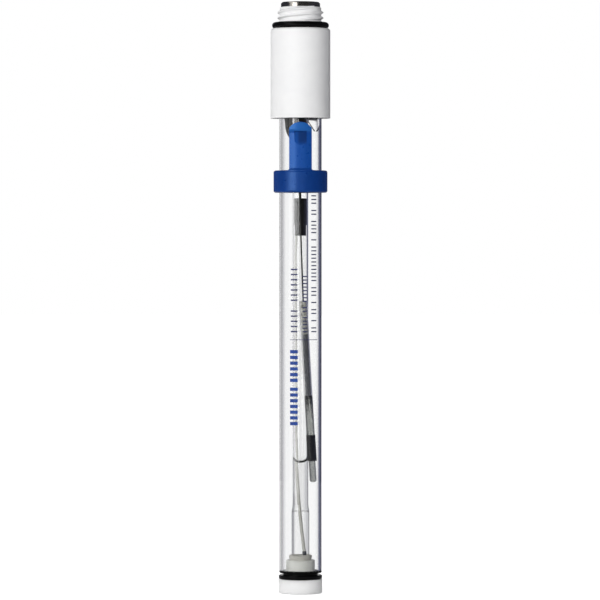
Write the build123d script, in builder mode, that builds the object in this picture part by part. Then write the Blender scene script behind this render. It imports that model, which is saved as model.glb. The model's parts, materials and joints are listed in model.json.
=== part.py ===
from build123d import *
from math import cos, radians, sin, sqrt
import os

# Laboratory pH electrode with a flat measuring tip, a clear glass shaft and a screw head.
# Z runs up the shaft axis from the measuring face, and the refill tongue faces -Y. Millimetres.

# Fits
bond_gap = 0.02
slide_gap = 0.05

# Outer glass shaft
shaft_r = 6.0
shaft_wall = 0.8
shaft_length = 142.4
refill_hole_r = 2.0
refill_hole_below_head = 5.6

# Tip, from the measuring face upwards
junction_overhang = 0.17
junction_height = 4.0
junction_chamfer = 0.25
hub_wall = 1.08
gasket_height = 2.4
lower_lip_overhang = 0.15
lower_lip_height = 1.15
upper_lip_overhang = 0.05
upper_lip_height = 0.65
gasket_groove_depth = 1.15
lip_chamfer = 0.2
bushing_flow_gap = 1.12
bushing_height = 3.0
bushing_edge = 0.2
bushing_groove_depth = 0.12
bushing_groove_height = 0.18
bushing_groove_rise = 0.55
seal_top_wall = 0.8
seal_bottom_wall = 0.55
seal_height = 1.4
seal_edge = 0.25

# Measuring stem
membrane_tube_r = 2.5
membrane_tube_wall = 0.4
membrane_thickness = 0.35
fused_joint_height = 23.2
fused_groove = 0.12
stem_r = 2.2
stem_wall = 0.35
stem_flare = 1.8
stem_in_head = 7.2
meniscus_height = 37.0
meniscus_dip = 1.5

# Measuring element inside the stem
plug_below_head = 33.3
plug_step = 0.23
plug_narrow_height = 3.0
plug_wide_height = 7.6
top_plug_below_head = 1.4
inner_lead_r = 0.24
element_wire_r = 0.36
element_wall_room = 0.06
element_bend_r = 12.0
element_lead_in = 6.5
element_above_meniscus = 8.0
element_above_joint = 3.3
element_lead_out = 5.6
chloride_tip_r = 0.44
chloride_tip_length = 1.2
chloride_tip_chamfer = 0.15
chloride_tip_height = 11.9

# Reference element in the ring space between stem and shaft
cartridge_room = 0.175
cartridge_bottom_height = 31.6
cartridge_top_angle = -79.5
cartridge_bottom_angle = -26.0
cartridge_wall = 0.3
packing_length = 9.5
chloride_fill_length = 17.5
cartridge_tube_length = 41.7
sleeve_grip = 3.5
sleeve_length = 7.3
sleeve_wall = 0.1
ion_trap_length = 9.9
ion_trap_step = 0.2
ion_trap_round = 0.7
reference_wire_r = 0.22
reference_bend_r = 5.0
reference_front_angle = -95.0
reference_front_share = 0.72
boot_angle = 204.0
boot_tip_angle = 222.0
boot_r = 1.1
boot_height = 6.2
boot_nose = 3.0
boot_tip_r = 0.4
boot_lead_in = 2.0
boot_lead_out = 1.5

# Head
head_wall = 2.43
head_height = 25.4
head_edge = 0.45
head_socket_depth = 14.0
head_cavity_r = 4.4
neck_r = 5.875
neck_height = 6.1
neck_edge = 0.25
neck_slope = 0.45
o_ring_section_r = 0.9
o_ring_seat_step = 0.375
potting_recess = 0.7
drip_tip_x = 4.2
drip_tip_width = 0.4
drip_left = 3.5
drip_right = 2.2
drip_length = 4.6
drip_thickness = 0.45

# Screw head contacts
contact_flange_inset = 0.065
contact_flange_height = 1.4
contact_edge = 0.35
contact_bore_r = 3.35
contact_sleeve_length = 8.5
insulator_recess = 1.2
centre_contact_r = 1.2
centre_contact_bore_r = 0.8
centre_contact_bore_depth = 5.0
centre_contact_tail = 1.5

# Refill slider
slider_wall = 1.6
slider_ring_height = 6.3
slider_edge = 0.6
slider_below_head = 14.8
tongue_width = 6.4
tongue_head_gap = 1.2
tongue_arch = 1.8
tongue_wall = 1.25
tongue_foot = 0.5
lip_height = 2.6
lip_rise = 0.45
lip_slope = 0.5
lip_edge = 0.3
notch_width = 3.4
notch_height = 4.0
notch_depth = 0.7

# Heights that follow from the stack of pieces
shaft_bottom = junction_height + gasket_height
shaft_top = shaft_bottom + shaft_length
head_bottom = shaft_top - head_socket_depth
head_top = head_bottom + head_height
neck_top = head_top + neck_height
contact_top = neck_top + contact_flange_height
contact_sleeve_bottom = neck_top - contact_sleeve_length
stem_top = head_bottom + stem_in_head
potting_bottom = head_bottom + potting_recess
plug_bottom = head_bottom - plug_below_head
plug_top = plug_bottom + plug_narrow_height + plug_wide_height
boot_bottom = potting_bottom - boot_height

# Radii and places that follow from neighbours
shaft_bore_r = shaft_r - shaft_wall
stem_bore_r = stem_r - stem_wall
membrane_bore_r = membrane_tube_r - membrane_tube_wall
stem_fit_r = stem_bore_r - bond_gap
tip_bore_r = membrane_tube_r + bond_gap
junction_r = shaft_r + junction_overhang
hub_r = tip_bore_r + hub_wall
lower_lip_r = shaft_r + lower_lip_overhang
upper_lip_r = shaft_r + upper_lip_overhang
gasket_groove_r = upper_lip_r - gasket_groove_depth
bushing_r = shaft_bore_r - bushing_flow_gap
seal_top_r = membrane_tube_r + seal_top_wall
seal_bottom_r = membrane_tube_r + seal_bottom_wall
plug_narrow_r = stem_fit_r - plug_step
head_socket_r = shaft_r + bond_gap
head_r = head_socket_r + head_wall
o_ring_seat_r = neck_r + o_ring_seat_step
contact_flange_r = neck_r - neck_edge - contact_flange_inset
slider_bore_r = shaft_r + slide_gap
slider_r = slider_bore_r + slider_wall
ring_space_r = (stem_r + shaft_bore_r) / 2

# The slanted cartridge leans on the shaft at both ends and just clears the stem half way.
cartridge_half_turn = radians(cartridge_bottom_angle - cartridge_top_angle) / 2
cartridge_lean = cos(cartridge_half_turn)
cartridge_reach = (shaft_bore_r - cartridge_room) * cartridge_lean - stem_r - cartridge_room
cartridge_r = cartridge_reach / (1 + cartridge_lean)
cartridge_bore_r = cartridge_r - cartridge_wall
cartridge_centre_r = shaft_bore_r - cartridge_room - cartridge_r
cartridge_length = cartridge_tube_length + ion_trap_length
cartridge_chord = 2 * cartridge_centre_r * sin(cartridge_half_turn)
cartridge_drop = sqrt(cartridge_length**2 - cartridge_chord**2)
cartridge_top_height = cartridge_bottom_height + cartridge_drop


def ring_space_point(angle, height, radius):
    return Vector(radius * cos(radians(angle)), radius * sin(radians(angle)), height)


cartridge_top = ring_space_point(cartridge_top_angle, cartridge_top_height, cartridge_centre_r)
cartridge_end = ring_space_point(cartridge_bottom_angle, cartridge_bottom_height, cartridge_centre_r)
cartridge_axis = (cartridge_end - cartridge_top).normalized()
cartridge_plane = Plane(origin=cartridge_top, z_dir=cartridge_axis)

# The boot leans round the stem as it comes down from the resin.
boot_top = ring_space_point(boot_angle, potting_bottom, ring_space_r)
boot_tip = ring_space_point(boot_tip_angle, boot_bottom, ring_space_r)
boot_axis = (boot_tip - boot_top).normalized()
boot_length = (boot_tip - boot_top).length

# The measuring wire leaves the plug near its rim, follows the bore wall and crosses to the far side.
element_x = stem_bore_r - element_wall_room - element_wire_r
element_points = [
    Vector(element_wall_room + element_wire_r - plug_narrow_r, 0, plug_bottom),
    Vector(-element_x, 0, plug_bottom - element_lead_in),
    Vector(-0.85 * element_x, 0, meniscus_height + element_above_meniscus),
    Vector(-0.29 * element_x, 0, fused_joint_height + element_above_joint),
    Vector(0.19 * element_x, 0, chloride_tip_height + element_lead_out),
    Vector(0.55 * element_x, 0, chloride_tip_height),
]
boot_entry = boot_top - boot_axis * boot_lead_in
boot_exit = boot_tip + boot_axis * boot_lead_out
reference_drop = boot_exit.Z - cartridge_top_height
reference_front_height = cartridge_top_height + reference_front_share * reference_drop
reference_points = [
    Vector(boot_entry.X, boot_entry.Y, contact_sleeve_bottom),
    boot_entry,
    boot_exit,
    ring_space_point(reference_front_angle, reference_front_height, cartridge_centre_r),
    cartridge_top,
    cartridge_top + cartridge_axis * packing_length,
]


def wire_along(points, bend_r, wire_r):
    with BuildPart() as wire:
        with BuildLine() as route:
            FilletPolyline(*points, radius=bend_r)
        with BuildSketch(Plane(origin=route.line @ 0, z_dir=route.line % 0)):
            Circle(wire_r)
        sweep()
    return wire.part


def chloride_bead(gap):
    end_direction = (element_points[-1] - element_points[-2]).normalized()
    with BuildPart() as bead:
        with BuildSketch(Plane(origin=element_points[-1], z_dir=end_direction)):
            Circle(chloride_tip_r + gap)
        extrude(amount=chloride_tip_length + gap)
        chamfer(bead.edges().filter_by(GeomType.CIRCLE), chloride_tip_chamfer)
    return bead.part


def write_step(piece, name):
    piece.part.label = name
    export_step(piece.part, f"parts/{name}.step")


os.makedirs("parts", exist_ok=True)

# White ring round the measuring face, with a hub that passes through the gasket
with BuildPart() as junction_ring:
    with BuildSketch():
        Circle(junction_r)
    extrude(amount=junction_height)
    chamfer(junction_ring.edges().filter_by(GeomType.CIRCLE), junction_chamfer)
    with BuildSketch(Plane.XY.offset(junction_height)):
        Circle(hub_r)
    extrude(amount=gasket_height)
    with BuildSketch():
        Circle(tip_bore_r)
    extrude(amount=shaft_bottom, mode=Mode.SUBTRACT)
write_step(junction_ring, "junction_ring")

# Rubber gasket between ring and glass: two lips with a groove between them
with BuildPart() as tip_gasket:
    with BuildSketch(Plane.XZ) as gasket_section:
        with BuildLine():
            Polyline(
                (hub_r + bond_gap, junction_height),
                (lower_lip_r, junction_height),
                (lower_lip_r, junction_height + lower_lip_height),
                (gasket_groove_r, junction_height + lower_lip_height),
                (gasket_groove_r, shaft_bottom - upper_lip_height),
                (upper_lip_r, shaft_bottom - upper_lip_height),
                (upper_lip_r, shaft_bottom),
                (hub_r + bond_gap, shaft_bottom),
                close=True,
            )
        make_face()
        lip_corners = gasket_section.vertices().filter_by_position(
            Axis.X, (gasket_groove_r + upper_lip_r) / 2, 2 * lower_lip_r
        )
        chamfer(lip_corners, lip_chamfer)
    revolve(axis=Axis.Z)
write_step(tip_gasket, "tip_gasket")

# Bushing that centres the stem in the shaft, with a fine groove near its foot
with BuildPart() as tip_bushing:
    with BuildSketch(Plane.XY.offset(shaft_bottom)):
        Circle(bushing_r)
        Circle(tip_bore_r, mode=Mode.SUBTRACT)
    extrude(amount=bushing_height)
    chamfer(tip_bushing.faces().sort_by(Axis.Z)[-1].outer_wire().edges(), bushing_edge)
    with BuildSketch(Plane.XY.offset(shaft_bottom + bushing_groove_rise)):
        Circle(bushing_r)
        Circle(bushing_r - bushing_groove_depth, mode=Mode.SUBTRACT)
    extrude(amount=bushing_groove_height, mode=Mode.SUBTRACT)
write_step(tip_bushing, "tip_bushing")

# Sealing ring on the bushing, wider at the top
seal_bottom = shaft_bottom + bushing_height
with BuildPart() as stem_seal:
    with BuildSketch(Plane.XZ):
        with BuildLine():
            Polyline(
                (tip_bore_r, seal_bottom),
                (seal_bottom_r, seal_bottom),
                (seal_top_r, seal_bottom + seal_height - seal_edge),
                (seal_top_r - seal_edge, seal_bottom + seal_height),
                (tip_bore_r, seal_bottom + seal_height),
                close=True,
            )
        make_face()
    revolve(axis=Axis.Z)
write_step(stem_seal, "stem_seal")

# Lower tube of the measuring stem, closed by the flat sensing membrane, grooved at its fused joint
with BuildPart() as membrane_tube:
    with BuildSketch():
        Circle(membrane_tube_r)
    extrude(amount=fused_joint_height)
    with BuildSketch(Plane.XY.offset(membrane_thickness)):
        Circle(membrane_bore_r)
    extrude(amount=fused_joint_height - membrane_thickness, mode=Mode.SUBTRACT)
    chamfer(membrane_tube.faces().sort_by(Axis.Z)[-1].outer_wire().edges(), fused_groove)
write_step(membrane_tube, "membrane_tube")

# Upper tube of the stem, flared at its foot to meet the wider tube
with BuildPart() as inner_stem:
    with BuildSketch(Plane.XZ):
        with BuildLine():
            Polyline(
                (membrane_bore_r, fused_joint_height),
                (membrane_tube_r, fused_joint_height),
                (stem_r, fused_joint_height + stem_flare),
                (stem_r, stem_top),
                (stem_bore_r, stem_top),
                (stem_bore_r, fused_joint_height + stem_flare),
                close=True,
            )
        make_face()
    revolve(axis=Axis.Z)
write_step(inner_stem, "inner_stem")

# Outer glass tube with the refill hole near its head end
with BuildPart() as glass_shaft:
    with BuildSketch(Plane.XY.offset(shaft_bottom)):
        Circle(shaft_r)
        Circle(shaft_bore_r, mode=Mode.SUBTRACT)
    extrude(amount=shaft_length)
    with BuildSketch(Plane.XZ):
        with Locations((0, head_bottom - refill_hole_below_head)):
            Circle(refill_hole_r)
    extrude(amount=2 * shaft_r, mode=Mode.SUBTRACT)
write_step(glass_shaft, "glass_shaft")

# Black stepped plug in the stem, above the measuring element
with BuildPart() as stem_plug:
    with BuildSketch(Plane.XY.offset(plug_bottom)):
        Circle(plug_narrow_r)
    extrude(amount=plug_narrow_height)
    with BuildSketch(Plane.XY.offset(plug_bottom + plug_narrow_height)):
        Circle(stem_fit_r)
    extrude(amount=plug_wide_height)
write_step(stem_plug, "stem_plug")

# Black plug in the upper end of the stem, pierced by the lead
with BuildPart() as stem_top_plug:
    with BuildSketch(Plane.XY.offset(head_bottom - top_plug_below_head)):
        Circle(stem_fit_r)
        Circle(inner_lead_r + bond_gap, mode=Mode.SUBTRACT)
    extrude(amount=stem_in_head + top_plug_below_head)
write_step(stem_top_plug, "stem_top_plug")

# Straight black lead from the stem plug to the centre contact
centre_contact_bottom = contact_sleeve_bottom - centre_contact_tail
with BuildPart() as inner_lead:
    with BuildSketch(Plane.XY.offset(plug_top)):
        Circle(inner_lead_r)
    extrude(amount=centre_contact_bottom - plug_top)
write_step(inner_lead, "inner_lead")

# Cream measuring wire with its dark chloride bead
with BuildPart() as inner_element_wire:
    add(wire_along(element_points, element_bend_r, element_wire_r))
write_step(inner_element_wire, "inner_element_wire")

with BuildPart() as silver_chloride_tip:
    add(chloride_bead(0))
write_step(silver_chloride_tip, "silver_chloride_tip")

# Liquid that fills the stem up to a concave meniscus and surrounds wire and bead
flare_top = fused_joint_height + stem_flare
with BuildPart() as inner_buffer:
    with BuildSketch(Plane.XZ):
        with BuildLine():
            TangentArc(
                (0, meniscus_height),
                (stem_fit_r, meniscus_height + meniscus_dip),
                tangent=(1, 0),
            )
            Polyline(
                (stem_fit_r, meniscus_height + meniscus_dip),
                (stem_fit_r, flare_top),
                (membrane_bore_r - bond_gap, fused_joint_height),
                (membrane_bore_r - bond_gap, membrane_thickness),
                (0, membrane_thickness),
                (0, meniscus_height),
            )
        make_face()
    revolve(axis=Axis.Z)
    add(wire_along(element_points, element_bend_r, element_wire_r + bond_gap), mode=Mode.SUBTRACT)
    add(chloride_bead(bond_gap), mode=Mode.SUBTRACT)
write_step(inner_buffer, "inner_buffer")

# Silver wire from the outer contact through the boot to the cartridge
with BuildPart() as reference_wire:
    add(wire_along(reference_points, reference_bend_r, reference_wire_r))
write_step(reference_wire, "reference_wire")

# Room for that wire in the pieces that it passes through
reference_wire_room = wire_along(reference_points, reference_bend_r, reference_wire_r + bond_gap)

# Rounded boot that holds the wire where it leaves the resin, cut level with the resin above
boot_side = Vector(-boot_axis.Y, boot_axis.X, 0)
boot_section = Plane(origin=boot_top, x_dir=boot_side, z_dir=boot_axis.cross(boot_side))
with BuildPart() as reference_lead_boot:
    with BuildSketch(boot_section):
        with BuildLine():
            wall = Line((boot_r, boot_r), (boot_r, boot_nose - boot_length))
            nose = TangentArc(wall @ 1, (boot_tip_r, -boot_length), tangent=(0, -1))
            Polyline(
                nose @ 1,
                (reference_wire_r + bond_gap, -boot_length),
                (reference_wire_r + bond_gap, boot_r),
                wall @ 0,
            )
        make_face()
    revolve(axis=Axis(boot_top, boot_axis))
    split(bisect_by=Plane.XY.offset(potting_bottom), keep=Keep.BOTTOM)
write_step(reference_lead_boot, "reference_lead_boot")

# Slanted reference cartridge: glass tube, packing, chloride, gel, sleeve and porous end plug
with BuildPart() as cartridge_tube:
    with BuildSketch(cartridge_plane):
        Circle(cartridge_r)
        Circle(cartridge_bore_r, mode=Mode.SUBTRACT)
    extrude(amount=cartridge_tube_length)
write_step(cartridge_tube, "cartridge_tube")

with BuildPart() as cartridge_packing:
    with BuildSketch(cartridge_plane):
        Circle(cartridge_bore_r - bond_gap)
    extrude(amount=packing_length)
    add(reference_wire_room, mode=Mode.SUBTRACT)
write_step(cartridge_packing, "cartridge_packing")

with BuildPart() as silver_chloride_fill:
    with BuildSketch(cartridge_plane.offset(packing_length)):
        Circle(cartridge_bore_r - bond_gap)
    extrude(amount=chloride_fill_length)
write_step(silver_chloride_fill, "silver_chloride_fill")

gel_start = packing_length + chloride_fill_length
with BuildPart() as cartridge_gel:
    with BuildSketch(cartridge_plane.offset(gel_start)):
        Circle(cartridge_bore_r - bond_gap)
    extrude(amount=cartridge_tube_length - gel_start)
write_step(cartridge_gel, "cartridge_gel")

with BuildPart() as cartridge_sleeve:
    with BuildSketch(cartridge_plane.offset(cartridge_tube_length - sleeve_grip)):
        Circle(cartridge_r + bond_gap + sleeve_wall)
        Circle(cartridge_r + bond_gap, mode=Mode.SUBTRACT)
    extrude(amount=sleeve_length)
write_step(cartridge_sleeve, "cartridge_sleeve")

with BuildPart() as ion_trap:
    with BuildSketch(cartridge_plane.offset(cartridge_tube_length)):
        Circle(cartridge_r - ion_trap_step)
    extrude(amount=ion_trap_length)
    fillet(ion_trap.edges().filter_by(GeomType.CIRCLE).sort_by(Axis.Z)[0], ion_trap_round)
write_step(ion_trap, "ion_trap")

# Moulded head: glass socket below, cavity for the contacts, screw neck above
o_ring_seat_top = head_top + 2 * o_ring_section_r
with BuildPart() as head_body:
    with BuildSketch(Plane.XZ):
        with BuildLine():
            Polyline(
                (head_socket_r, head_bottom),
                (head_r, head_bottom),
                (head_r, head_top - head_edge),
                (head_r - head_edge, head_top),
                (o_ring_seat_r, head_top),
                (o_ring_seat_r, o_ring_seat_top),
                (neck_r, o_ring_seat_top + neck_slope),
                (neck_r, neck_top - neck_edge),
                (neck_r - neck_edge, neck_top),
                (head_cavity_r, neck_top),
                (head_cavity_r, shaft_top),
                (head_socket_r, shaft_top),
                close=True,
            )
        make_face()
    revolve(axis=Axis.Z)
write_step(head_body, "head_body")

# Black O-ring seated on the head at the foot of the neck
o_ring_r = o_ring_seat_r + bond_gap + o_ring_section_r
with BuildPart() as head_o_ring:
    with BuildSketch(Plane.XZ):
        with Locations((o_ring_r, head_top + bond_gap + o_ring_section_r)):
            Circle(o_ring_section_r)
    revolve(axis=Axis.Z)
write_step(head_o_ring, "head_o_ring")

# Clear resin between stem and shaft, with a pointed run down the glass on the right
with BuildPart() as head_potting:
    with BuildSketch(Plane.XZ):
        with BuildLine():
            Polyline(
                (drip_tip_x - drip_left, potting_bottom),
                (drip_tip_x - drip_tip_width / 2, potting_bottom - drip_length),
                (drip_tip_x + drip_tip_width / 2, potting_bottom - drip_length),
                (drip_tip_x + drip_right, potting_bottom),
                close=True,
            )
        make_face()
    extrude(amount=shaft_r)
    with BuildSketch(Plane.XY.offset(potting_bottom)):
        Circle(shaft_bore_r - bond_gap)
        Circle(shaft_bore_r - bond_gap - drip_thickness, mode=Mode.SUBTRACT)
    extrude(amount=-drip_length, mode=Mode.INTERSECT)
    with BuildSketch(Plane.XY.offset(potting_bottom)):
        Circle(shaft_bore_r - bond_gap)
        Circle(inner_lead_r + bond_gap, mode=Mode.SUBTRACT)
    extrude(amount=shaft_top - potting_bottom)
    with BuildSketch(Plane.XY.offset(potting_bottom)):
        Circle(stem_r + bond_gap)
    extrude(amount=stem_top - potting_bottom, mode=Mode.SUBTRACT)
    add(reference_wire_room, mode=Mode.SUBTRACT)
write_step(head_potting, "head_potting")

# Metal contact: flange on the neck and sleeve in the head
with BuildPart() as outer_contact:
    with BuildSketch(Plane.XY.offset(contact_sleeve_bottom)):
        Circle(head_cavity_r - bond_gap)
    extrude(amount=contact_sleeve_length)
    with BuildSketch(Plane.XY.offset(neck_top)):
        Circle(contact_flange_r)
    extrude(amount=contact_flange_height)
    chamfer(outer_contact.faces().sort_by(Axis.Z)[-1].outer_wire().edges(), contact_edge)
    with BuildSketch(Plane.XY.offset(contact_sleeve_bottom)):
        Circle(contact_bore_r)
    extrude(amount=contact_top - contact_sleeve_bottom, mode=Mode.SUBTRACT)
write_step(outer_contact, "outer_contact")

insulator_top = contact_top - insulator_recess
with BuildPart() as contact_insulator:
    with BuildSketch(Plane.XY.offset(contact_sleeve_bottom)):
        Circle(contact_bore_r - bond_gap)
        Circle(centre_contact_r + bond_gap, mode=Mode.SUBTRACT)
    extrude(amount=insulator_top - contact_sleeve_bottom)
write_step(contact_insulator, "contact_insulator")

with BuildPart() as centre_contact:
    with BuildSketch(Plane.XY.offset(centre_contact_bottom)):
        Circle(centre_contact_r)
    extrude(amount=insulator_top - centre_contact_bottom)
    with BuildSketch(Plane.XY.offset(insulator_top)):
        Circle(centre_contact_bore_r)
    extrude(amount=-centre_contact_bore_depth, mode=Mode.SUBTRACT)
write_step(centre_contact, "centre_contact")

# Refill slider: the tongue is the front outline cut from a turned section with a lip
slider_top = head_bottom - slider_below_head
slider_bottom = slider_top - slider_ring_height
tongue_top = head_bottom - tongue_head_gap
tongue_r = slider_bore_r + tongue_wall
lip_bottom = tongue_top - lip_height
tongue_root = slider_top - slider_ring_height / 2
with BuildPart() as tongue:
    with BuildSketch(Plane.XZ) as tongue_outline:
        with BuildLine():
            shoulder = tongue_top - tongue_arch
            left_side = Line((-tongue_width / 2, tongue_root), (-tongue_width / 2, shoulder))
            arch = ThreePointArc(left_side @ 1, (0, tongue_top), (tongue_width / 2, shoulder))
            right_side = Line(arch @ 1, (tongue_width / 2, tongue_root))
            Line(right_side @ 1, left_side @ 0)
        make_face()
        with Locations((0, tongue_root)):
            Rectangle(
                tongue_width + 4 * tongue_foot,
                slider_top - tongue_root,
                align=(Align.CENTER, Align.MIN),
            )
        feet = tongue_outline.vertices().filter_by_position(
            Axis.Y, slider_top - tongue_foot / 2, slider_top + tongue_foot / 2
        )
        fillet(feet.sort_by(Axis.X)[1:3], tongue_foot)
    extrude(amount=2 * slider_r)
    with BuildSketch(Plane.XZ):
        with BuildLine():
            Polyline(
                (slider_bore_r, tongue_root),
                (tongue_r + tongue_foot / 2, tongue_root),
                (tongue_r + tongue_foot / 2, slider_top),
                (tongue_r, slider_top + tongue_foot),
                (tongue_r, lip_bottom - lip_slope),
                (tongue_r + lip_rise, lip_bottom + lip_slope),
                (tongue_r + lip_rise, tongue_top - lip_edge),
                (tongue_r + lip_rise - lip_edge, tongue_top),
                (slider_bore_r, tongue_top),
                close=True,
            )
        make_face()
    revolve(axis=Axis.Z, mode=Mode.INTERSECT)

with BuildPart() as refill_slider:
    with BuildSketch(Plane.XY.offset(slider_bottom)):
        Circle(slider_r)
    extrude(amount=slider_ring_height)
    fillet(refill_slider.edges().filter_by(GeomType.CIRCLE), slider_edge)
    with BuildSketch(Plane.XY.offset(slider_bottom)):
        Circle(slider_bore_r)
    extrude(amount=slider_ring_height, mode=Mode.SUBTRACT)
    add(tongue.part)
    # Fingernail notch, deepest under the lip and running out downwards
    with BuildSketch(Plane.YZ):
        with BuildLine():
            Polyline(
                (-tongue_r + notch_depth, lip_bottom),
                (-tongue_r - lip_rise, lip_bottom),
                (-tongue_r - lip_rise, lip_bottom - notch_height),
                (-tongue_r, lip_bottom - notch_height),
                close=True,
            )
        make_face()
    extrude(amount=notch_width / 2, both=True, mode=Mode.SUBTRACT)
write_step(refill_slider, "refill_slider")
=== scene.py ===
import json
import math

import bmesh
import bpy
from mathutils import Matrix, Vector


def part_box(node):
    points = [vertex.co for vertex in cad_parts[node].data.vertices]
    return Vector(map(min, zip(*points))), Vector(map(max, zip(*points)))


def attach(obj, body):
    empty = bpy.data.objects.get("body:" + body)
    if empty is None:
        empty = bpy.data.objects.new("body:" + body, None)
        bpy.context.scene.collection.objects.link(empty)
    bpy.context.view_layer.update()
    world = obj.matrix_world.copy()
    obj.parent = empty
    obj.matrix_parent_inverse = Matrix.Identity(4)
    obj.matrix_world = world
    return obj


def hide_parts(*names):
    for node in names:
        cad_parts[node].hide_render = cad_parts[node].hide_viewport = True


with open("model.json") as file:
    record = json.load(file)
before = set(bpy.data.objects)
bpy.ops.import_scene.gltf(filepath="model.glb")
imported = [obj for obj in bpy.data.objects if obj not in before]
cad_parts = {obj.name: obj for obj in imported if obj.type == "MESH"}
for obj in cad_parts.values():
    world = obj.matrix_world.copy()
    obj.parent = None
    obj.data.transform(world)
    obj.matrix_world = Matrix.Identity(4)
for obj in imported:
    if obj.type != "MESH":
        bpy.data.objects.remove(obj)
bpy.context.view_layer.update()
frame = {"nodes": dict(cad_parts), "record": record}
nodes = frame["nodes"]
scene = bpy.context.scene

MM = 0.001

# Noise behind the finishes: the band most of its values lie in, and how it marks a surface
NOISE_BAND = (0.3, 0.7)
GLOSS_FINENESS = 3
GRAIN_SCALE = 4000
GRAIN_DETAIL = 5.0
GRAIN_STRENGTH = 0.3
DRAW_STRETCH = (1, 1, 0.02)
DRAW_STRENGTH = 0.05


def node_of(tree, kind):
    """The first node of a kind in a tree."""
    return next(n for n in tree.nodes if n.type == kind)


def new_material(name):
    mat = bpy.data.materials.new(name)
    mat.use_nodes = True
    return mat, mat.node_tree, node_of(mat.node_tree, "BSDF_PRINCIPLED")


def feed(tree, socket, value):
    """Puts a constant on a socket, or links another node's output to it."""
    if isinstance(value, bpy.types.NodeSocket):
        tree.links.new(value, socket)
    else:
        socket.default_value = value


def object_coords(tree, stretch=(1, 1, 1)):
    """Object coordinates in metres, optionally stretched along an axis."""
    coords = tree.nodes.new("ShaderNodeTexCoord")
    mapping = tree.nodes.new("ShaderNodeMapping")
    mapping.inputs["Scale"].default_value = stretch
    tree.links.new(coords.outputs["Object"], mapping.inputs["Vector"])
    return mapping.outputs["Vector"]


def noise(tree, vector, scale, detail=3.0):
    tex = tree.nodes.new("ShaderNodeTexNoise")
    tex.inputs["Scale"].default_value = scale
    tex.inputs["Detail"].default_value = detail
    tree.links.new(vector, tex.inputs["Vector"])
    return tex.outputs["Fac"]


def map_range(tree, value, source, target=(0.0, 1.0), smooth=False):
    """Goes from one end of the target to the other while the value crosses the source."""
    node = tree.nodes.new("ShaderNodeMapRange")
    if smooth:
        node.interpolation_type = "SMOOTHSTEP"
    for name, number in zip(("From Min", "From Max", "To Min", "To Max"), (*source, *target)):
        node.inputs[name].default_value = number
    tree.links.new(value, node.inputs["Value"])
    return node.outputs["Result"]


def tint(tree, factor, dark, light):
    """A colour between dark and light, chosen by noise."""
    node = tree.nodes.new("ShaderNodeValToRGB")
    for element, place, colour in zip(node.color_ramp.elements, NOISE_BAND, (dark, light)):
        element.position = place
        element.color = (*colour, 1)
    tree.links.new(factor, node.inputs["Fac"])
    return node.outputs["Color"]


def bump(tree, shader, height, strength, distance):
    node = tree.nodes.new("ShaderNodeBump")
    node.inputs["Strength"].default_value = strength
    node.inputs["Distance"].default_value = distance
    tree.links.new(height, node.inputs["Height"])
    tree.links.new(node.outputs["Normal"], shader.inputs["Normal"])


def scatter(shader, weight, radius, scale):
    """Lets light spread below a surface; the radius holds the shares of red, green and blue."""
    shader.inputs["Subsurface Weight"].default_value = weight
    shader.inputs["Subsurface Radius"].default_value = radius
    shader.inputs["Subsurface Scale"].default_value = scale


def arithmetic(tree, operation, first, second):
    node = tree.nodes.new("ShaderNodeMath")
    node.operation = operation
    feed(tree, node.inputs[0], first)
    feed(tree, node.inputs[1], second)
    return node.outputs[0]


def blend_levels(tree, factor, low, high):
    """Goes from low to high with the factor; each end is a number or a socket."""
    node = tree.nodes.new("ShaderNodeMix")
    node.data_type = "FLOAT"
    tree.links.new(factor, node.inputs["Factor"])
    feed(tree, node.inputs["A"], low)
    feed(tree, node.inputs["B"], high)
    return node.outputs["Result"]


def mix_colours(tree, factor, first, second):
    """Goes from the first colour to the second; each is three numbers or a socket."""
    node = tree.nodes.new("ShaderNodeMix")
    node.data_type = "RGBA"
    tree.links.new(factor, node.inputs["Factor"])
    colour_sockets = [s for s in node.inputs if s.type == "RGBA"]
    for socket, value in zip(colour_sockets, (first, second)):
        feed(tree, socket, (*value, 1) if isinstance(value, tuple) else value)
    return next(s for s in node.outputs if s.type == "RGBA")


def mix_shaders(tree, factor, first, second):
    node = tree.nodes.new("ShaderNodeMixShader")
    feed(tree, node.inputs["Fac"], factor)
    tree.links.new(first, node.inputs[1])
    tree.links.new(second, node.inputs[2])
    return node.outputs["Shader"]


def solid_material(name, dark, light, rough, mottle=300, depth=0.01 * MM, metallic=0.0,
                   specular=0.5, stretch=(1, 1, 1)):
    """An opaque surface with mottled colour, uneven gloss and a fine grain."""
    mat, tree, shader = new_material(name)
    vector = object_coords(tree, stretch)
    colour = tint(tree, noise(tree, vector, mottle), dark, light)
    gloss = map_range(tree, noise(tree, vector, mottle * GLOSS_FINENESS), NOISE_BAND, rough)
    tree.links.new(colour, shader.inputs["Base Color"])
    tree.links.new(gloss, shader.inputs["Roughness"])
    bump(tree, shader, noise(tree, vector, GRAIN_SCALE, GRAIN_DETAIL), GRAIN_STRENGTH, depth)
    shader.inputs["Metallic"].default_value = metallic
    shader.inputs["Specular IOR Level"].default_value = specular
    return mat


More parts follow.
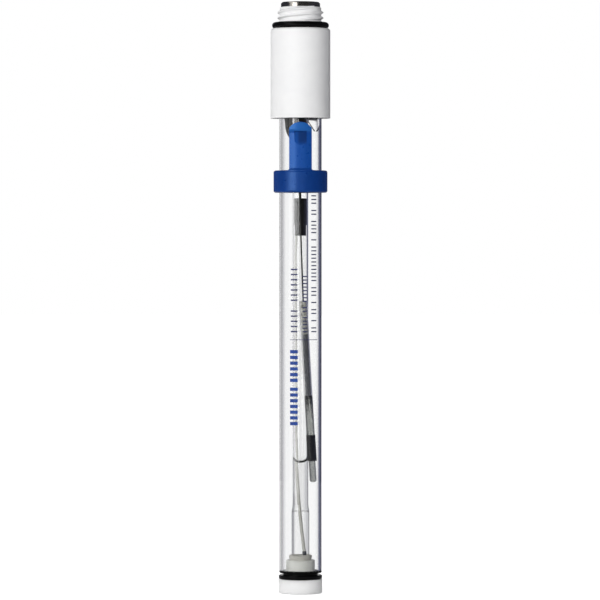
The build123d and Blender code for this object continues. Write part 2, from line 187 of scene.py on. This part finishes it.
def clear_material(name, colour, ior, haze=0.01, streak=400, depth=0.002 * MM, mirror=1.0):
    """Glass, resin or liquid that lamps shine through, with faint draw lines.

    Mirror is the share of the surface that mirrors as glass in air does. It is less where
    liquid wets glass.
    """
    mat, tree, shader = new_material(name)
    vector = object_coords(tree, DRAW_STRETCH)
    shader.inputs["Base Color"].default_value = (*colour, 1)
    shader.inputs["Transmission Weight"].default_value = 1.0
    shader.inputs["IOR"].default_value = ior
    lines = noise(tree, vector, streak)
    tree.links.new(map_range(tree, lines, NOISE_BAND, (0.0, haze)), shader.inputs["Roughness"])
    bump(tree, shader, lines, DRAW_STRENGTH, depth)
    surface = shader.outputs["BSDF"]
    if mirror < 1:
        through = tree.nodes.new("ShaderNodeBsdfRefraction")
        through.inputs["IOR"].default_value = ior
        for socket in ("Roughness", "Normal"):
            tree.links.new(shader.inputs[socket].links[0].from_socket, through.inputs[socket])
        surface = mix_shaders(tree, mirror, through.outputs["BSDF"], surface)
    path = tree.nodes.new("ShaderNodeLightPath")
    clear = tree.nodes.new("ShaderNodeBsdfTransparent")
    surface = mix_shaders(tree, path.outputs["Is Shadow Ray"], surface, clear.outputs["BSDF"])
    tree.links.new(surface, node_of(tree, "OUTPUT_MATERIAL").inputs["Surface"])
    return mat


# Blue slider: where its painted light and painted shade begin, in mm down from its top and in mm
# across
TONGUE_LIGHT_FOOT = (13.6, 12.4)
LIP_LIGHT_FOOT = (2.9, 2.3)
HOLLOW_SHADE_FOOT = (7.0, 5.2)
HOLLOW_SHADE_HEAD = (2.5, 2.9)
HOLLOW_SHADE_LEFT = (-1.4, 0.1)
HOLLOW_SHADE_RIGHT = (2.0, 1.5)
# Painted light: lighter blue up the tongue and on its lip
TONGUE_LIGHT_BLUE = (0.006, 0.060, 0.30)
LIP_LIGHT_BLUE = (0.012, 0.100, 0.37)
# Painted shade: dark blue in the hollow under the lip
HOLLOW_SHADE_BLUE = (0.004, 0.026, 0.135)
SHEEN_BLUE = (0.25, 0.50, 1.0)


def blue_material():
    """Satin blue plastic, deep in the ring, with painted light up the tongue and on its lip, and
    painted shade under its lip.
    """
    mat = solid_material("blue_plastic", (0.003, 0.034, 0.19), (0.004, 0.040, 0.22), (0.27, 0.35),
                         specular=1.0)
    tree = mat.node_tree
    shader = node_of(tree, "BSDF_PRINCIPLED")
    axes = tree.nodes.new("ShaderNodeSeparateXYZ")
    tree.links.new(object_coords(tree), axes.inputs["Vector"])
    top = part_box("refill_slider")[1].z

    def down(zone):
        return map_range(tree, axes.outputs["Z"], [top - z * MM for z in zone], smooth=True)

    def across(zone):
        return map_range(tree, axes.outputs["X"], [x * MM for x in zone], smooth=True)

    colour = shader.inputs["Base Color"].links[0].from_socket
    # Painted light: the tongue and its lip are made lighter than the ring
    colour = mix_colours(tree, down(TONGUE_LIGHT_FOOT), colour, TONGUE_LIGHT_BLUE)
    colour = mix_colours(tree, down(LIP_LIGHT_FOOT), colour, LIP_LIGHT_BLUE)
    # Painted shade: the hollow under the lip is made dark
    hollow_shade = across(HOLLOW_SHADE_LEFT)
    for side in (across(HOLLOW_SHADE_RIGHT), down(HOLLOW_SHADE_FOOT), down(HOLLOW_SHADE_HEAD)):
        hollow_shade = arithmetic(tree, "MULTIPLY", hollow_shade, side)
    colour = mix_colours(tree, hollow_shade, colour, HOLLOW_SHADE_BLUE)
    tree.links.new(colour, shader.inputs["Base Color"])
    shader.inputs["Specular Tint"].default_value = (*SHEEN_BLUE, 1)
    scatter(shader, weight=0.1, radius=(0.3, 0.7, 1.6), scale=1.2 * MM)
    return mat


SOLID_FINISHES = {
    "white_plastic": dict(dark=(0.86, 0.86, 0.865), light=(0.89, 0.89, 0.89), rough=(0.50, 0.60)),
    "junction_white": dict(dark=(0.94, 0.94, 0.935), light=(0.97, 0.97, 0.965), rough=(0.45, 0.6)),
    "black_rubber": dict(dark=(0.0012, 0.0012, 0.0012), light=(0.003, 0.003, 0.003),
                         rough=(0.18, 0.26), specular=0.12),
    "contact_metal": dict(dark=(0.36, 0.34, 0.31), light=(0.46, 0.44, 0.41), rough=(0.12, 0.20),
                          metallic=1.0, stretch=(1, 1, 20)),
    "insulator_plastic": dict(dark=(0.60, 0.59, 0.55), light=(0.66, 0.65, 0.61), rough=(0.4, 0.5)),
    "black_plastic": dict(dark=(0.003, 0.0028, 0.0028), light=(0.006, 0.0055, 0.0055),
                          rough=(0.4, 0.55), specular=0.35),
    "cream_wire": dict(dark=(0.47, 0.47, 0.43), light=(0.57, 0.57, 0.53), rough=(0.4, 0.55)),
    "silver_wire": dict(dark=(0.06, 0.06, 0.058), light=(0.11, 0.11, 0.105), rough=(0.4, 0.55),
                        metallic=1.0),
    "silver_chloride": dict(dark=(0.05, 0.055, 0.06), light=(0.10, 0.10, 0.115), rough=(0.5, 0.7),
                            mottle=900),
    "packing_wool": dict(dark=(0.12, 0.12, 0.108), light=(0.66, 0.66, 0.60), rough=(0.7, 0.9),
                         mottle=1400, depth=0.04 * MM),
    "seal_grey": dict(dark=(0.43, 0.42, 0.38), light=(0.50, 0.49, 0.45), rough=(0.5, 0.6)),
    "bushing_grey": dict(dark=(0.62, 0.63, 0.59), light=(0.68, 0.69, 0.65), rough=(0.4, 0.5)),
    # No slots of their own: painted shade for the edges of the resin run, and two inks
    "resin_edge_shade": dict(dark=(0.025, 0.025, 0.03), light=(0.06, 0.06, 0.065), rough=(0.3, 0.4),
                       mottle=2500),
    "print_blue": dict(dark=(0.010, 0.045, 0.24), light=(0.016, 0.065, 0.32), rough=(0.5, 0.6)),
    "print_navy": dict(dark=(0.03, 0.035, 0.10), light=(0.05, 0.055, 0.14), rough=(0.5, 0.6)),
}
CLEAR_FINISHES = {
    "shaft_glass": dict(colour=(0.998, 1.0, 1.0), ior=1.473),
    "stem_glass": dict(colour=(0.999, 1.0, 1.0), ior=1.5, depth=0.0004 * MM),
    "membrane_glass": dict(colour=(0.998, 0.998, 1.0), ior=1.5, depth=0.0004 * MM, mirror=0.35),
    "buffer_liquid": dict(colour=(1.0, 1.0, 1.0), ior=1.333, haze=0.002, depth=0.0004 * MM,
                          mirror=0.15),
    "clear_resin": dict(colour=(0.99, 0.99, 0.985), ior=1.03),
    "grey_gel": dict(colour=(0.36, 0.37, 0.35), ior=1.38, haze=0.05, streak=2500),
    "grey_plug": dict(colour=(0.33, 0.34, 0.33), ior=1.45, haze=0.08, streak=2500),
}
MATERIALS = {name: solid_material(name, **finish) for name, finish in SOLID_FINISHES.items()}
MATERIALS.update({name: clear_material(name, **finish) for name, finish in CLEAR_FINISHES.items()})
MATERIALS["blue_plastic"] = blue_material()

# Light spreads inside the white porous ring at the tip
ring_shader = node_of(MATERIALS["junction_white"].node_tree, "BSDF_PRINCIPLED")
scatter(ring_shader, weight=0.8, radius=(1.0, 1.0, 1.0), scale=5 * MM)

for part in frame["record"]["subparts"]:
    mesh = nodes[part["node"]].data
    mesh.materials.clear()
    mesh.materials.append(MATERIALS[part["material_slot"]])


def mesh_piece(name, build, slot_name, body="electrode", finish=None):
    """A new object from a bmesh builder, riding on a body, with its slot's finish or another."""
    bm = bmesh.new()
    build(bm)
    bmesh.ops.recalc_face_normals(bm, faces=bm.faces)
    mesh = bpy.data.meshes.new(name)
    bm.to_mesh(mesh)
    bm.free()
    piece = bpy.data.objects.new(name, mesh)
    scene.collection.objects.link(piece)
    mesh.materials.append(MATERIALS[finish or slot_name])
    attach(piece, body)
    return piece


def lathe(bm, profile, steps=96):
    """A closed outline of radius and height turned about Z; points on the axis become poles."""
    rings = []
    for r, z in profile:
        if r == 0:
            rings.append([bm.verts.new((0, 0, z))])
            continue
        turns = [2 * math.pi * i / steps for i in range(steps)]
        rings.append([bm.verts.new((r * math.cos(a), r * math.sin(a), z)) for a in turns])
    for a, b in zip(rings, rings[1:] + rings[:1]):
        if len(a) == 1 and len(b) == 1:
            continue
        for i in range(steps):
            j = (i + 1) % steps
            corners = [a[i % len(a)], a[j % len(a)], b[j % len(b)], b[i % len(b)]]
            bm.faces.new(list(dict.fromkeys(corners)))


def skin(bm, rings):
    """Faces between rings of equal counts of points, and a cap on the first and the last."""
    sides = len(rings[0])
    for a, b in zip(rings, rings[1:]):
        for k in range(sides):
            j = (k + 1) % sides
            bm.faces.new((a[k], a[j], b[j], b[k]))
    bm.faces.new(rings[0])
    bm.faces.new(rings[-1])


# Clear fillings that wet the glass round them, so that no air film shows beside them
WETTING = 0.01 * MM
SWELL = 0.035 * MM
SAME_PLACE = 0.0005 * MM
SHARP_EDGE = math.radians(35)
GLASS_FIT = 0.02 * MM
STEM_FLARE = 1.8 * MM
MENISCUS_DIP = 1.5 * MM
MENISCUS_STEPS = 16
buffer_low, buffer_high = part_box("inner_buffer")
plug_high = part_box("stem_plug")[1]
joint_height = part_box("membrane_tube")[1].z
tube_r = buffer_high.x + GLASS_FIT + WETTING
stem_r = plug_high.x + GLASS_FIT + WETTING


def smooth(piece):
    piece.data.shade_smooth()
    piece.data.set_sharp_from_angle(angle=SHARP_EDGE)


def wet_buffer(bm):
    """The liquid in tube and stem, with its concave meniscus."""
    outline = [
        (0, buffer_low.z - WETTING),
        (tube_r, buffer_low.z - WETTING),
        (tube_r, joint_height),
        (stem_r, joint_height + STEM_FLARE),
    ]
    sphere_r = (stem_r ** 2 + MENISCUS_DIP ** 2) / (2 * MENISCUS_DIP)
    for i in range(MENISCUS_STEPS + 1):
        r = stem_r * (1 - i / MENISCUS_STEPS)
        rise = sphere_r - math.sqrt(sphere_r ** 2 - r ** 2)
        outline.append((r, buffer_high.z - MENISCUS_DIP + rise))
    lathe(bm, outline)


liquid = mesh_piece("wet_buffer", wet_buffer, "buffer_liquid")
smooth(liquid)
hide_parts("inner_buffer")


def wet_copy(node_name, slot_name):
    """A clear filling grown by a hair's breadth, so that it meets the glass round it."""
    def build(bm):
        bm.from_mesh(nodes[node_name].data)
        bmesh.ops.remove_doubles(bm, verts=bm.verts, dist=SAME_PLACE)
        bm.normal_update()
        grown = [vert.co + vert.normal * SWELL for vert in bm.verts]
        for vert, place in zip(bm.verts, grown):
            vert.co = place
    piece = mesh_piece("wet_" + node_name, build, slot_name)
    smooth(piece)
    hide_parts(node_name)


wet_copy("cartridge_gel", "grey_gel")
wet_copy("head_potting", "clear_resin")

# Rolled edges of the resin run on the glass. They look dark because they bend the light away, and
# here that darkness is painted shade: opaque beads in a dark finish.
# Their lines are given in mm, across and up, as seen from the front.
RUN_EDGE_WALL_R = 5.08 * MM
RUN_EDGE_R = 0.13 * MM
RUN_EDGE_STEPS = 8
RUN_EDGE_SIDES = 8
RUN_EDGES = (
    ((1.60, 134.70), (2.05, 134.45), (2.10, 133.70), (3.75, 131.05)),
    ((4.25, 131.05), (4.70, 131.70), (4.98, 132.70)),
)


def run_edge(bm, points):
    """A thin bead along a line on the bore wall."""
    places = []
    for (x0, z0), (x1, z1) in zip(points, points[1:]):
        for i in range(RUN_EDGE_STEPS):
            x = x0 + (x1 - x0) * i / RUN_EDGE_STEPS
            z = z0 + (z1 - z0) * i / RUN_EDGE_STEPS
            places.append((x, z))
    places.append(points[-1])
    centres = []
    for x, z in places:
        y = -math.sqrt(RUN_EDGE_WALL_R ** 2 - (x * MM) ** 2)
        centres.append(Vector((x * MM, y, z * MM)))
    turns = [2 * math.pi * k / RUN_EDGE_SIDES for k in range(RUN_EDGE_SIDES)]
    rings = []
    for i, centre in enumerate(centres):
        along = (centres[min(i + 1, len(centres) - 1)] - centres[max(i - 1, 0)]).normalized()
        side = along.cross(Vector((centre.x, centre.y, 0))).normalized()
        out = side.cross(along)
        rings.append([
            bm.verts.new(centre + RUN_EDGE_R * (math.cos(t) * side + math.sin(t) * out))
            for t in turns
        ])
    skin(bm, rings)


def run_edges(bm):
    for points in RUN_EDGES:
        run_edge(bm, points)


# Painted shade: dark opaque beads where the clear resin only bends the light away
mesh_piece("resin_run_edges", run_edges, "clear_resin", finish="resin_edge_shade")

# Screw thread on the neck: two ridges that climb side by side and fade out at both ends
NECK_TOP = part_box("head_body")[1].z
NECK_ROOT_R = 5.875 * MM
THREAD_CREST_R = 6.5 * MM
THREAD_LEAD = 3.06 * MM
THREAD_STARTS = 2
THREAD_TOP = NECK_TOP - 0.4 * MM
THREAD_BOTTOM = NECK_TOP - 4.0 * MM
THREAD_PHASE = math.radians(180)
THREAD_HEIGHT_AT_PHASE = NECK_TOP - 3.05 * MM
THREAD_BASE = 1.15 * MM
THREAD_FLAT = 0.28 * MM
THREAD_SUNK = 0.05 * MM
THREAD_FADE = math.radians(40)
THREAD_STEPS = 120


def thread_ridge(bm, start):
    first_turn = (THREAD_BOTTOM - THREAD_HEIGHT_AT_PHASE) / THREAD_LEAD
    last_turn = (THREAD_TOP - THREAD_HEIGHT_AT_PHASE) / THREAD_LEAD
    shift = start / THREAD_STARTS
    steps = int(THREAD_STEPS * (last_turn - first_turn))
    foot = NECK_ROOT_R - THREAD_SUNK
    rings = []
    for i in range(steps + 1):
        turn = first_turn + (last_turn - first_turn) * i / steps
        angle = THREAD_PHASE + 2 * math.pi * (turn + shift)
        z = THREAD_HEIGHT_AT_PHASE + THREAD_LEAD * turn
        from_end = 2 * math.pi * min(turn - first_turn, last_turn - turn)
        grow = min(1.0, from_end / THREAD_FADE)
        crest = foot + (THREAD_CREST_R - NECK_ROOT_R + THREAD_SUNK) * grow
        section = (
            (foot, -THREAD_BASE / 2),
            (crest, -THREAD_FLAT / 2),
            (crest, THREAD_FLAT / 2),
            (foot, THREAD_BASE / 2),
        )
        rings.append([
            bm.verts.new((r * math.cos(angle), r * math.sin(angle), z + dz)) for r, dz in section
        ])
    skin(bm, rings)


def neck_thread(bm):
    for start in range(THREAD_STARTS):
        thread_ridge(bm, start)


mesh_piece("neck_thread", neck_thread, "white_plastic")

# Printed marks on the glass: plain blocks in columns, and a rule, in two inks.
# A column has its left, right and lower ends, the number of blocks in each word,
# and the stroke, pitch and space of its blocks, all in mm as seen from the front.
PRINT_R = 6.004 * MM
PRINT_THICK = 0.008 * MM
PRINT_STEP_DEGREES = 3
PRINT_LEAST_STEPS = 2
BLUE_COLUMN = (-2.95, -0.75, 47.9, (7, 6), 0.95, 1.62, 0.9)
NAVY_COLUMNS = (
    (-2.75, -0.85, 74.2, (5, 7), 0.42, 1.45, 1.6),
    (0.55, 1.85, 74.2, (5, 2, 8), 0.34, 1.0, 0.8),
    (3.05, 4.45, 74.2, (2, 1, 2, 1, 3, 10, 1, 4, 2, 4), 0.34, 1.05, 1.0),
)
NAVY_RULE = (-2.95, 4.75, 72.0, 72.17)


def print_block(bm, left, right, low, high):
    """A thin block bent round the glass."""
    first, last = (math.asin(x * MM / PRINT_R) for x in (left, right))
    steps = max(PRINT_LEAST_STEPS, int(math.degrees(last - first) / PRINT_STEP_DEGREES))
    outer_r = PRINT_R + PRINT_THICK
    section = ((PRINT_R, low), (PRINT_R, high), (outer_r, high), (outer_r, low))
    rings = []
    for i in range(steps + 1):
        angle = first + (last - first) * i / steps
        rings.append([
            bm.verts.new((r * math.sin(angle), -r * math.cos(angle), z * MM)) for r, z in section
        ])
    skin(bm, rings)


def print_words(bm, left, right, low, words, stroke, pitch, space):
    """A column of words, each a row of blocks."""
    z = low
    for count in words:
        for _ in range(count):
            print_block(bm, left, right, z, z + stroke)
            z += pitch
        z += space


def blue_print(bm):
    print_words(bm, *BLUE_COLUMN)


def navy_print(bm):
    for column in NAVY_COLUMNS:
        print_words(bm, *column)
    print_block(bm, *NAVY_RULE)


for ink, build in (("print_blue", blue_print), ("print_navy", navy_print)):
    mesh_piece(ink, build, "blue_plastic", finish=ink)

# Camera: a long lens a little above the middle of the shaft, tipped slightly down
EYE_DISTANCE = 1.064
EYE_HEIGHT = 0.0998
AIM_HEIGHT = 0.08324
AIM_X = -0.00014
LENS = 224.8
SENSOR = 36.0
CLIP_END = 20
camera = bpy.data.objects.new("camera", bpy.data.cameras.new("camera"))
scene.collection.objects.link(camera)
camera.location = (AIM_X, -EYE_DISTANCE, EYE_HEIGHT)
aim = Vector((AIM_X, 0, AIM_HEIGHT)) - camera.location
camera.rotation_euler = aim.to_track_quat("-Z", "Y").to_euler()
camera.data.lens = LENS
camera.data.sensor_width = SENSOR
camera.data.clip_end = CLIP_END
scene.camera = camera

# Lamps, aimed at the middle of the part. Glossy ones also show in glass and in reflections.
MIDDLE = Vector((0, 0, 0.085))


def around(azimuth, distance, height):
    """A place on a circle about the part, azimuth 0 at the camera and positive to its right."""
    turn = math.radians(azimuth)
    return Vector((distance * math.sin(turn), -distance * math.cos(turn), height))


def lamp(name, azimuth, distance, height, size, level, glossy):
    """A soft box; its level sets how bright it makes a white surface that faces it."""
    data = bpy.data.lights.new(name, "AREA")
    data.shape = "RECTANGLE"
    data.size, data.size_y = size
    data.energy = level * 4 * math.pi * distance ** 2
    obj = bpy.data.objects.new(name, data)
    scene.collection.objects.link(obj)
    obj.location = around(azimuth, distance, height)
    obj.rotation_euler = (MIDDLE - obj.location).to_track_quat("-Z", "Y").to_euler()
    obj.visible_glossy = glossy
    obj.visible_transmission = glossy


lamp("front_box", 5, 1.6, 0.35, (0.6, 0.8), 0.33, False)
lamp("key_box", -34, 1.1, 0.2, (0.55, 0.5), 0.16, True)
lamp("fill_box", -33, 1.5, 0.35, (0.6, 0.8), 0.235, False)
lamp("rim_box", -125, 1.2, 0.3, (0.6, 0.9), 0.30, False)

# A depth counts bounces, so one above a half means at least one
HALF_BOUNCE = 0.5


def bounced(tree, path, kind):
    """1 for light that has met a surface of this kind on its way, else 0."""
    return arithmetic(tree, "GREATER_THAN", path.outputs[kind + " Depth"], HALF_BOUNCE)


def reflected(tree, path):
    """1 for light that an outside surface has mirrored or scattered, else 0."""
    mirrored = arithmetic(tree, "GREATER_THAN", bounced(tree, path, "Glossy"),
                          bounced(tree, path, "Transmission"))
    return arithmetic(tree, "MAXIMUM", mirrored, bounced(tree, path, "Diffuse"))


def glow_material(name, through, inside, outside):
    """An even tone that the room light doesn't change.

    The first tone is seen straight through glass, the second by light turned inside a glass wall,
    the third in reflections on opaque surfaces.
    """
    mat, tree, shader = new_material(name)
    shader.inputs["Base Color"].default_value = (0, 0, 0, 1)
    shader.inputs["Specular IOR Level"].default_value = 0.0
    path = tree.nodes.new("ShaderNodeLightPath")
    glass = mix_colours(tree, bounced(tree, path, "Glossy"), through, inside)
    tone = mix_colours(tree, reflected(tree, path), glass, outside)
    tree.links.new(tone, shader.inputs["Emission Color"])
    shader.inputs["Emission Strength"].default_value = 1.0
    return mat


# Upright curved cards that shape reflections and the edges of the glass, unseen by the camera
CARD_DISTANCE = 0.5
CARD_FOOT = -0.4
CARD_TOP = 0.8
CARD_STEPS = 24


def card(name, first_azimuth, last_azimuth, tones, diffuse):
    mesh = bpy.data.meshes.new(name)
    points = []
    for i in range(CARD_STEPS + 1):
        azimuth = first_azimuth + (last_azimuth - first_azimuth) * i / CARD_STEPS
        points.append(around(azimuth, CARD_DISTANCE, CARD_FOOT))
        points.append(around(azimuth, CARD_DISTANCE, CARD_TOP))
    faces = [(2 * i, 2 * i + 2, 2 * i + 3, 2 * i + 1) for i in range(CARD_STEPS)]
    mesh.from_pydata(points, [], faces)
    obj = bpy.data.objects.new(name, mesh)
    scene.collection.objects.link(obj)
    mesh.materials.append(glow_material(name, *tones))
    obj.visible_camera = False
    obj.visible_shadow = False
    obj.visible_diffuse = diffuse


DARK = (0.04, 0.042, 0.06)
VIOLET = (0.125, 0.13, 0.205)
DIM = (0.36, 0.36, 0.38)
GREY = (0.45, 0.45, 0.46)
SOFT = (0.68, 0.68, 0.70)
PALE = (0.84, 0.84, 0.85)
WHITE = (1.0, 1.0, 1.0)
card("right_card", 55, 157, (DIM, VIOLET, DARK), True)
card("right_edge", 157, 163, (PALE, VIOLET, DARK), True)
card("left_card", -150, -120, (GREY, GREY, DARK), False)
card("left_edge", -163, -150, (SOFT, SOFT, DARK), False)
card("left_fade", -169, -163, (PALE, PALE, DARK), False)
card("left_flag", -120, -66, (WHITE, WHITE, DARK), False)

# Pale floor that keeps the shadow
FLOOR_SIZE = 8
FLOOR_LEVEL = -0.0001
FLOOR_GREY = (0.75, 0.75, 0.75)
FLOOR_ROUGHNESS = 0.9
FLOOR_NEAR_GLOW = 0.80
FLOOR_NEAR_R = 0.05
FLOOR_FAR_R = 0.30


def floor_material():
    """Matt and pale, with a glow that makes it white away from the part."""
    mat, tree, shader = new_material("floor")
    shader.inputs["Base Color"].default_value = (*FLOOR_GREY, 1)
    shader.inputs["Roughness"].default_value = FLOOR_ROUGHNESS
    shader.inputs["Specular IOR Level"].default_value = 0.0
    shader.inputs["Emission Color"].default_value = (*WHITE, 1)
    length = tree.nodes.new("ShaderNodeVectorMath")
    length.operation = "LENGTH"
    tree.links.new(object_coords(tree), length.inputs[0])
    fade = map_range(tree, length.outputs["Value"], (FLOOR_NEAR_R, FLOOR_FAR_R),
                     (FLOOR_NEAR_GLOW, 1.0))
    path = tree.nodes.new("ShaderNodeLightPath")
    either = arithmetic(tree, "MAXIMUM", bounced(tree, path, "Glossy"),
                        bounced(tree, path, "Diffuse"))
    tree.links.new(blend_levels(tree, either, fade, 0.0), shader.inputs["Emission Strength"])
    return mat


bpy.ops.mesh.primitive_plane_add(size=FLOOR_SIZE, location=(0, 0, FLOOR_LEVEL))
floor = bpy.context.object
floor.name = "floor"
floor.data.materials.append(floor_material())
floor.visible_transmission = False

# White surround: mirrored, it gets dim towards the front and the right
ROOM_LIGHT = 0.18
ROOM_FRONT = 0.03
ROOM_SIDE = 2.5
ROOM_FADE = (0.4, 1.1)


def studio_world():
    world = bpy.data.worlds.new("studio")
    world.use_nodes = True
    tree = world.node_tree
    background = node_of(tree, "BACKGROUND")
    background.inputs["Color"].default_value = (*WHITE, 1)
    direction = tree.nodes.new("ShaderNodeTexCoord")
    axes = tree.nodes.new("ShaderNodeSeparateXYZ")
    tree.links.new(direction.outputs["Generated"], axes.inputs["Vector"])
    sideways = arithmetic(tree, "MULTIPLY", axes.outputs["X"], ROOM_SIDE)
    backwards = arithmetic(tree, "SUBTRACT", axes.outputs["Y"], sideways)
    depth = map_range(tree, backwards, ROOM_FADE, (ROOM_FRONT, 1.0))
    path = tree.nodes.new("ShaderNodeLightPath")
    mirrored = blend_levels(tree, bounced(tree, path, "Glossy"), 1.0, depth)
    level = blend_levels(tree, bounced(tree, path, "Diffuse"), mirrored, ROOM_LIGHT)
    tree.links.new(level, background.inputs["Strength"])
    return world


scene.world = studio_world()
scene.view_settings.view_transform = "Standard"


def corners(bounds):
    return [list(corner) for corner in bounds]
